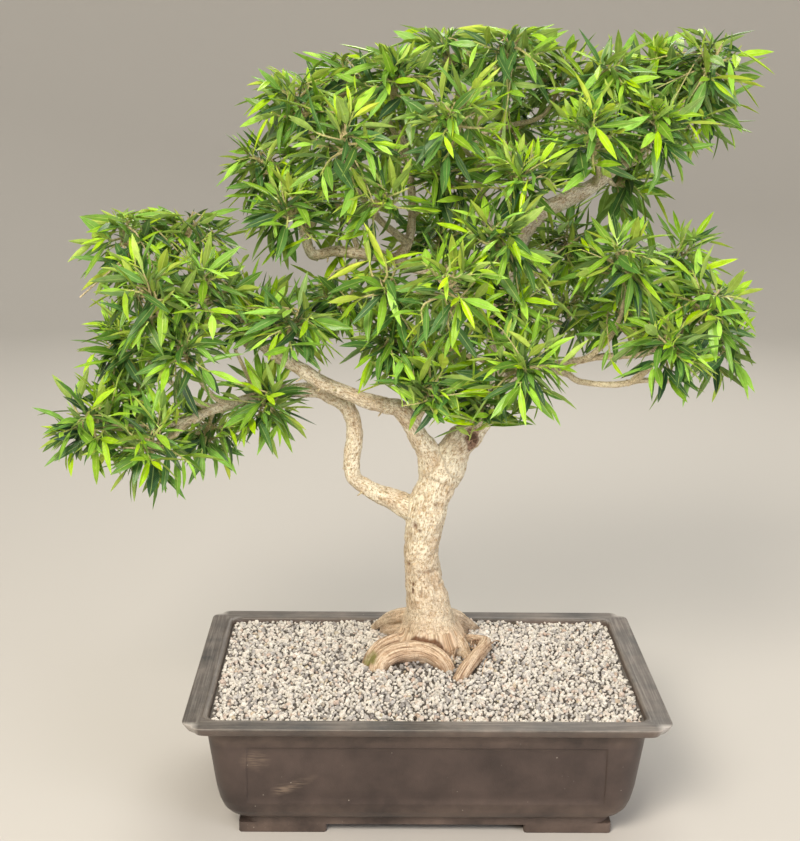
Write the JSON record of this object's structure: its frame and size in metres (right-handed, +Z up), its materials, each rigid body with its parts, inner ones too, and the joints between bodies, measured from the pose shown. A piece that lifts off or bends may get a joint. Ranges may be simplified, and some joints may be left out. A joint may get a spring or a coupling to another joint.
{
  "type": "willow leaf ficus bonsai in a training pot",
  "caption": "Potted bonsai fig with a flared trunk, long side boughs and a crown of narrow willow-like leaves, growing in gravel in a low rectangular plastic training pot.",
  "frame": {"origin": "under the middle of the whole tree and pot, on the surface that the pot's feet stand on", "axes": "+Z up along the trunk, +X towards the bough side that rises highest, along the pot's long side, and -Y towards the viewer of the tree's front"},
  "size_m": [0.8064, 0.3734, 0.8676],
  "materials": {
    "pot_plastic": "dark brown moulded plastic, scuffed and greyed at the rim",
    "screen_plastic": "black moulded mesh",
    "crushed_stone": "dry pale grey crushed stone, matt",
    "fig_bark": "pale tan bark with brown flecks and rough rings",
    "fig_leaf": "smooth waxy leaves, bright green when young and dark green when old"
  },
  "bodies": {
    "root": {"training_pot": "pot_plastic", "drain_screen_left": "screen_plastic", "drain_screen_right": "screen_plastic", "gravel": "crushed_stone", "trunk_and_branches": "fig_bark", "spray_left_1": "fig_leaf", "spray_left_2": "fig_leaf", "spray_left_3": "fig_leaf", "spray_left_4": "fig_leaf", "spray_left_5": "fig_leaf", "spray_left_6": "fig_leaf", "spray_left_7": "fig_leaf", "spray_left_8": "fig_leaf", "spray_left_9": "fig_leaf", "spray_left_10": "fig_leaf", "spray_left_11": "fig_leaf", "spray_left_12": "fig_leaf", "spray_left_13": "fig_leaf", "spray_upper_1": "fig_leaf", "spray_upper_2": "fig_leaf", "spray_upper_3": "fig_leaf", "spray_upper_4": "fig_leaf", "spray_upper_5": "fig_leaf", "spray_upper_6": "fig_leaf", "spray_upper_7": "fig_leaf", "spray_upper_8": "fig_leaf", "spray_upper_9": "fig_leaf", "spray_top_1": "fig_leaf", "spray_top_2": "fig_leaf", "spray_top_3": "fig_leaf", "spray_top_4": "fig_leaf", "spray_top_5": "fig_leaf", "spray_top_6": "fig_leaf", "spray_top_7": "fig_leaf", "spray_right_1": "fig_leaf", "spray_right_2": "fig_leaf", "spray_right_3": "fig_leaf", "spray_right_4": "fig_leaf", "spray_right_5": "fig_leaf", "spray_right_6": "fig_leaf", "spray_right_7": "fig_leaf", "spray_middle_1": "fig_leaf", "spray_middle_2": "fig_leaf", "spray_middle_3": "fig_leaf", "spray_middle_4": "fig_leaf", "spray_middle_5": "fig_leaf", "spray_middle_6": "fig_leaf", "spray_middle_7": "fig_leaf", "spray_middle_8": "fig_leaf", "spray_middle_9": "fig_leaf", "spray_middle_10": "fig_leaf", "spray_middle_11": "fig_leaf", "spray_middle_12": "fig_leaf", "spray_middle_13": "fig_leaf", "spray_plate_1": "fig_leaf", "spray_plate_2": "fig_leaf", "spray_plate_3": "fig_leaf", "spray_plate_4": "fig_leaf", "spray_plate_5": "fig_leaf", "spray_plate_6": "fig_leaf"}
  },
  "joints": []
}
